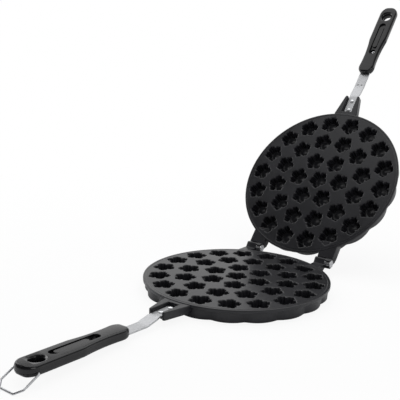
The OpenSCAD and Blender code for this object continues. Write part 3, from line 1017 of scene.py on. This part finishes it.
# %% Row tree
def row_tree():
    tree, start = new_tree("rivets_in_a_row", ("Pattern", "Object"), ("Count", "Int"),
                           ("First", "Vector"), ("Step", "Vector"), ("Metal", "Material"))
    pattern = node(tree, "GeometryNodeObjectInfo", {"Object": start["Pattern"]})
    line = node(tree, "GeometryNodeMeshLine",
                {"Count": start["Count"], "Start Location": start["First"],
                 "Offset": start["Step"]})
    put = node(tree, "GeometryNodeInstanceOnPoints",
               {"Points": line.outputs["Mesh"], "Instance": pattern.outputs["Geometry"]})
    return end_tree(tree, put.outputs["Instances"], start["Metal"])


ROW = row_tree()
FRONT_RIVET, REAR_RIVET = -108.9 * MM, -122.6 * MM


def bm_of(mesh):
    bm = bmesh.new()
    bm.from_mesh(mesh)
    bpy.data.meshes.remove(mesh)
    return bm


def rivets(half):
    mesh = grown(ROW, bpy.data.meshes.new("empty"), Pattern=RIVET, Count=2,
                 First=(0.0, FRONT_RIVET, 0.0), Step=(0.0, REAR_RIVET - FRONT_RIVET, 0.0),
                 Metal=TURNED)
    return finish_mesh(half + "_domed_rivets", bm_of(mesh), TURNED, 45, half,
                       swaps=(half + "_rivet_front", half + "_rivet_rear"))


for half in HALVES:
    rivets(half)
bpy.data.objects.remove(RIVET)

# %% [markdown]
# One pan-head screw holds the tang in each grip. It sits deep in its well, and only the
# head with its round recess shows. The profile is drawn in mm above the tang's top.

# %% Grip screws
SCREW = ((0.3, -3.5), (1.7, -3.5), (1.7, 0), (3.0, 0), (3.0, 0.8), (2.7, 1.3), (2.0, 1.65),
         (1.3, 1.7), (1.0, 1.1), (0.3, 0.8))


def screw(half):
    bm = bmesh.new()
    z = TANG_Z + STRAP_T / 2
    revolve(bm, in_mm([(r, z + h) for r, h in SCREW]))
    bm.transform(grip_place(half) @ Matrix.Translation((0, SCREW_Y * MM, 0)))
    return finish_mesh(half + "_screw_head", bm, TURNED, 35, half,
                       swaps=(half + "_grip_screw",))


for half in HALVES:
    screw(half)

# %% [markdown]
# The hinge pins are bright turned steel. Each has a shank in its knuckle, a bare length that
# the hook runs on, and a small head that keeps the hook from walking off. The first profile
# is inside the knuckle, the second is measured outwards from the knuckle's face.

# %% Hinge pins
PIN_IN, PIN_OUT = [(0.4, 2.5), (2.4, 2.5)], [(2.4, 0), (3.5, 0), (3.5, 6.4), (3.9, 6.45),
                                             (4.1, 6.7), (4.1, 7.3), (3.8, 7.6), (0.4, 7.6)]


def hinge_pin(side, x):
    bm = bmesh.new()
    revolve(bm, in_mm(PIN_IN + [(r, LUG_W + h) for r, h in PIN_OUT]))
    bm.transform(Matrix.Translation((x * MM, AXIS_Y, AXIS_Z)) @ Matrix.Rotation(pi / 2, 4, "Y"))
    return finish_mesh("hinge_pin_" + side + "_turned", bm, TURNED, 40, "lower",
                       swaps=("hinge_pin_" + side,))


hinge_pin("left", LUG_X[0])
hinge_pin("right", LUG_X[1])

# %% [markdown]
# The bail is one length of drawn wire, bent to a loop and sprung into the sides of the lower
# grip. It follows a path, so a tree does it: the corners of the path are filleted, a round
# section runs along it, and the wire's two ends are filled. A curve with a bevel would make
# one bail by hand. The tree keeps the wire's thickness and its bends as numbers to change.

# %% Wire tree
def wire_tree():
    tree, start = new_tree("wire_along_path", ("Path", "Geometry"), ("Wire radius", "Float"),
                           ("Bend radius", "Float"), ("Metal", "Material"))
    path = node(tree, "GeometryNodeMeshToCurve", {"Mesh": start["Path"]})
    bent = node(tree, "GeometryNodeFilletCurve",
                {"Curve": path.outputs["Curve"], "Radius": start["Bend radius"]},
                mode="POLY", Count=8)
    across = node(tree, "GeometryNodeCurvePrimitiveCircle", {"Radius": start["Wire radius"]},
                  Resolution=20)
    wire = node(tree, "GeometryNodeCurveToMesh",
                {"Curve": bent.outputs["Curve"], "Profile Curve": across.outputs["Curve"],
                 "Fill Caps": True})
    return end_tree(tree, wire.outputs["Mesh"], start["Metal"])


WIRE = wire_tree()
print("wire tree", len(WIRE.nodes), "nodes")

# %% [markdown]
# The loop is drawn flat about its pivot and then drops until it rests on the table, as it
# lies in the photograph. The pivot's height and the loop's reach give the angle.

# %% Bail
WIRE_R, BAIL_REACH, BAIL_X, BEND_R = 0.9 * MM, 22.6 * MM, 13.3 * MM, 1.6 * MM
BAIL_END_X, BAIL_SIDE_Y, BAIL_TIP_X, TABLE_GAP = 9.6 * MM, -16.6 * MM, 8 * MM, 0.1 * MM


def bail():
    pivot = grip_place("lower") @ Vector((0, PIVOT_Y * MM, PIVOT_Z * MM))
    drop = asin((pivot.z - WIRE_R - TABLE_GAP) / BAIL_REACH)
    flat = [(BAIL_END_X, 0), (BAIL_X, 0), (BAIL_X, BAIL_SIDE_Y), (BAIL_TIP_X, -BAIL_REACH)]
    flat += [(-x, y) for x, y in reversed(flat)]
    path = bpy.data.meshes.new("path")
    path.from_pydata([(x, y, 0) for x, y in flat], [(k, k + 1) for k in range(len(flat) - 1)], [])
    mesh = grown(WIRE, path, **{"Wire radius": WIRE_R, "Bend radius": BEND_R, "Metal": DRAWN})
    bm = bm_of(mesh)
    bm.transform(Matrix.Translation(pivot) @ Matrix.Rotation(drop, 4, "X"))
    print("the bail drops", round(degrees(drop), 1), "degrees")
    return finish_mesh("wire_bail", bm, DRAWN, 60, "lower", swaps=("bail",),
                       body="bail_loop")


bail()

# %% [markdown]
# A plain pale floor. For the camera it glows white, as a packshot's paper does, and near the
# pan a tenth of the real paper shows through, which keeps the pan's soft shadow. Every other
# ray meets plain paper, so the floor sends no more light to the object than paper would.

# %% Floor
FLOOR_SIZE, SHADOW_NEAR, SHADOW_FAR, GLOW_NEAR, GLOW_FAR = 6, 0.25, 0.7, 0.9, 1.0


def white_floor():
    bm = bmesh.new()
    bmesh.ops.create_grid(bm, x_segments=1, y_segments=1, size=FLOOR_SIZE)
    floor = as_object("floor", bm)
    m, t = new_material("white_paper_floor")
    paper = node(t, "ShaderNodeBsdfDiffuse", Color=linear("#f6f6f6"))
    glow = node(t, "ShaderNodeEmission", Color=linear("#ffffff"), Strength=1.0)
    path = node(t, "ShaderNodeLightPath")
    away = node(t, "ShaderNodeVectorMath", {0: node(t, "ShaderNodeTexCoord").outputs["Object"]},
                operation="LENGTH")
    fade = node(t, "ShaderNodeMapRange",
                {"Value": away.outputs["Value"], "From Min": SHADOW_NEAR,
                 "From Max": SHADOW_FAR, "To Min": GLOW_NEAR, "To Max": GLOW_FAR})
    share = node(t, "ShaderNodeMath", {0: path.outputs["Is Camera Ray"],
                                       1: fade.outputs["Result"]}, operation="MULTIPLY")
    mix = node(t, "ShaderNodeMixShader", {0: share.outputs[0], 1: paper.outputs[0],
                                          2: glow.outputs[0]})
    node(t, "ShaderNodeOutputMaterial", {"Surface": mix.outputs[0]})
    floor.data.materials.append(m)
    return floor


print("floor", white_floor().data.materials[0].name)

# %% [markdown]
# The light is a low white sweep behind the pan, a dimmer room in front and above, and three
# soft boxes. Shiny faces that look back over the pan mirror the sweep, and faces that look
# to the front mirror the room, so black pieces keep their depth. The world's strength
# follows the ray's direction for this, and for the camera it is plain white.

# %% World
ROOM, WHITE = 0.46, 1.0


def studio():
    world = bpy.data.worlds.new("studio")
    bpy.context.scene.world = world
    world.use_nodes = True
    t = world.node_tree
    t.nodes.clear()
    way = node(t, "ShaderNodeSeparateXYZ",
               {0: node(t, "ShaderNodeTexCoord").outputs["Generated"]})
    behind = node(t, "ShaderNodeMapRange", {"Value": way.outputs["Y"], "From Min": -0.6,
                                            "From Max": 0.7, "To Min": 0.14, "To Max": 1.15})
    low = node(t, "ShaderNodeMapRange", {"Value": way.outputs["Z"], "From Min": 0.3,
                                         "From Max": 0.55, "To Min": 1.0, "To Max": 0.25})
    sweep = node(t, "ShaderNodeMath", {0: behind.outputs["Result"], 1: low.outputs["Result"]},
                 operation="MULTIPLY")
    mirrored = node(t, "ShaderNodeBackground", {"Strength": sweep.outputs[0]},
                    Color=linear("#ffffff"))
    soft = node(t, "ShaderNodeBackground", Color=linear("#f2f3f5"), Strength=ROOM)
    white = node(t, "ShaderNodeBackground", Color=linear("#ffffff"), Strength=WHITE)
    path = node(t, "ShaderNodeLightPath")
    shiny = node(t, "ShaderNodeMixShader", {0: path.outputs["Is Glossy Ray"],
                                            1: soft.outputs[0], 2: mirrored.outputs[0]})
    mix = node(t, "ShaderNodeMixShader", {0: path.outputs["Is Camera Ray"],
                                          1: shiny.outputs[0], 2: white.outputs[0]})
    node(t, "ShaderNodeOutputWorld", {"Surface": mix.outputs[0]})
    return world


print("world", studio().name)

# %% [markdown]
# Three soft boxes give the pan its form: a large one over it for the skin between the cups,
# and a small one on each side for the edges and grips. Each is listed with its place, the
# point it looks at, its size in metres and its power in watts.

# %% Soft boxes
SOFTBOXES = (("top_softbox", (-0.3, 0.5, 1.6), (0, 0, 0), 2.0, 16),
             ("left_softbox", (-1.4, 0.1, 0.8), (0, 0, 0.05), 0.8, 5),
             ("right_softbox", (1.3, -0.5, 0.9), (0, 0, 0.1), 0.8, 4))

for name, spot, aim, size, power in SOFTBOXES:
    data = bpy.data.lights.new(name, "AREA")
    data.size, data.energy = size, power
    lamp = bpy.data.objects.new(name, data)
    look = (Vector(aim) - Vector(spot)).to_track_quat("-Z", "Y")
    lamp.matrix_world = Matrix.Translation(spot) @ look.to_matrix().to_4x4()
    bpy.context.scene.collection.objects.link(lamp)
    print(name, power, "W")

bpy.context.scene.view_settings.view_transform = "Standard"
